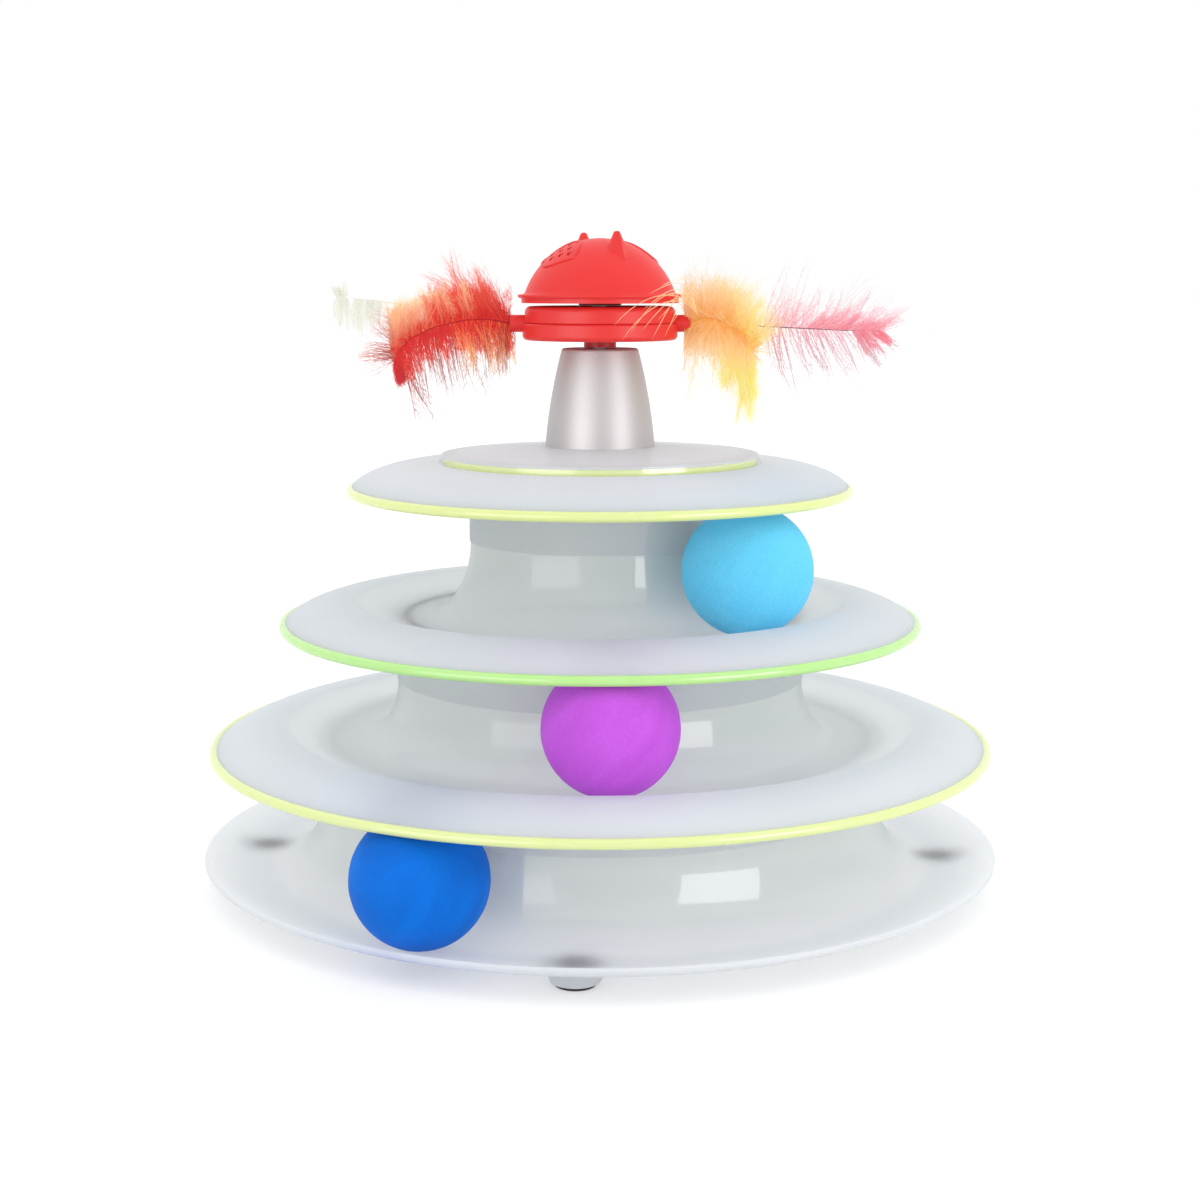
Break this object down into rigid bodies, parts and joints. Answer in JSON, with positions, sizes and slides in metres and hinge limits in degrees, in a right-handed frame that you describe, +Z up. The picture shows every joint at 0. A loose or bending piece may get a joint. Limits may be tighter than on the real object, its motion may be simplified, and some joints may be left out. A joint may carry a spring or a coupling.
{
  "type": "cat ball track toy",
  "caption": "Round tower of stacked translucent ball tracks for cats, with coloured balls, lime rim beads, a silver column, spinning feathers and a red catnip dome.",
  "frame": {"origin": "On the floor, under the axis of the round tray", "axes": "+Z up along the axis of the tower, -Y the front shown in the picture, +X to the right of it"},
  "size_m": [0.2504, 0.2504, 0.2021],
  "materials": {
    "milky_plastic": "glossy, translucent milky white, satin on the canopies",
    "lime_bead": "soft, lime yellow, slightly see-through",
    "green_bead": "soft, light green, slightly see-through",
    "black_rubber": "matt",
    "silver_paint": "satin silver lacquer on plastic",
    "red_plastic": "semi-gloss, slightly see-through red",
    "steel": "bright",
    "dark_blue_ball": "matt, dark blue",
    "purple_ball": "matt, purple",
    "light_blue_ball": "matt, light blue",
    "red_feather": "soft red barbs",
    "cream_feather": "soft cream barbs",
    "orange_feather": "soft orange and yellow barbs",
    "pink_feather": "soft pink barbs"
  },
  "bodies": {
    "tower": {"base_tray": "milky_plastic", "pad_front": "black_rubber", "pad_right": "black_rubber", "pad_rear": "black_rubber", "pad_left": "black_rubber", "lower_deck": "milky_plastic", "lower_rim_bead": "lime_bead", "middle_deck": "milky_plastic", "middle_rim_bead": "green_bead", "top_cover": "milky_plastic", "top_rim_bead": "lime_bead", "disc_ring": "lime_bead", "pedestal_disc": "milky_plastic", "pedestal_cone": "silver_paint", "pedestal_screws": "steel", "spindle": "steel", "spindle_clip": "steel"},
    "ball_lower": {"ball_dark_blue": "dark_blue_ball"},
    "ball_middle": {"ball_purple": "purple_ball"},
    "ball_upper": {"ball_light_blue": "light_blue_ball"},
    "feather_carrier": {"carrier_lower_shell": "red_plastic", "carrier_upper_shell": "red_plastic", "carrier_screws": "steel", "feather_socket_left": "red_plastic", "feather_socket_right": "red_plastic", "feather_red": "red_feather", "feather_cream": "cream_feather", "feather_orange": "orange_feather", "feather_pink": "pink_feather"},
    "catnip_dome": {"dome_floor": "red_plastic", "dome_shell": "red_plastic"}
  },
  "joints": [
    {"name": "ball_lower_orbit", "type": "hinge", "parent": "tower", "child": "ball_lower", "pos_m": [0, 0, 0.0256], "axis": [0, 0, 1], "continuous": true},
    {"name": "ball_middle_orbit", "type": "hinge", "parent": "tower", "child": "ball_middle", "pos_m": [0, 0, 0.065], "axis": [0, 0, 1], "continuous": true},
    {"name": "ball_upper_orbit", "type": "hinge", "parent": "tower", "child": "ball_upper", "pos_m": [0, 0, 0.1034], "axis": [0, 0, 1], "continuous": true},
    {"name": "carrier_spin", "type": "hinge", "parent": "tower", "child": "feather_carrier", "pos_m": [0, 0, 0.1742], "axis": [0, 0, 1], "continuous": true},
    {"name": "dome_spin", "type": "hinge", "parent": "tower", "child": "catnip_dome", "pos_m": [0, 0, 0.1819], "axis": [0, 0, 1], "continuous": true}
  ]
}
